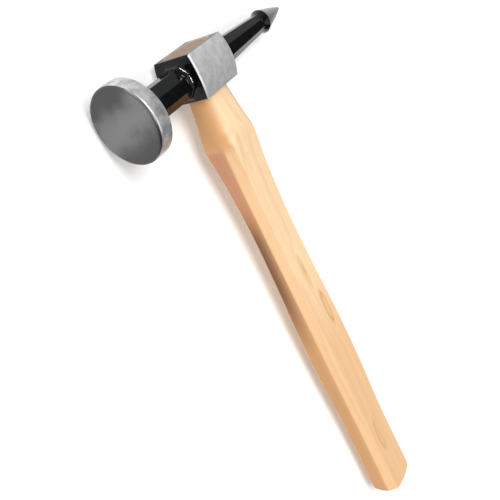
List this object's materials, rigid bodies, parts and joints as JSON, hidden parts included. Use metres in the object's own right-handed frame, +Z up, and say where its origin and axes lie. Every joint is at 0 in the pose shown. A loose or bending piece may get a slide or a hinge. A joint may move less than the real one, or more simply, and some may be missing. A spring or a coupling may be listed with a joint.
{
  "type": "pick hammer",
  "caption": "Sheet-metal hammer with a round flat face, a tapered pick and an octagonal hickory handle wedged into the eye.",
  "frame": {"origin": "on the floor under the hammer as it lies on its side, at the middle of the whole object's box", "axes": "+Z up from the floor, +Y from the butt to the head along the handle, +X from the round face towards the pick"},
  "size_m": [0.15, 0.3317, 0.0405],
  "materials": {
    "forged_steel": "ground satin faces, glossy black lacquer on the necks and block ends",
    "hickory": "smooth, waxed",
    "wedge_wood": "raw end grain",
    "wedge_steel": "ground flush"
  },
  "bodies": {
    "root": {"hammer_head": "forged_steel", "handle": "hickory", "wood_wedge": "wedge_wood", "steel_wedge_front": "wedge_steel", "steel_wedge_rear": "wedge_steel"}
  },
  "joints": []
}
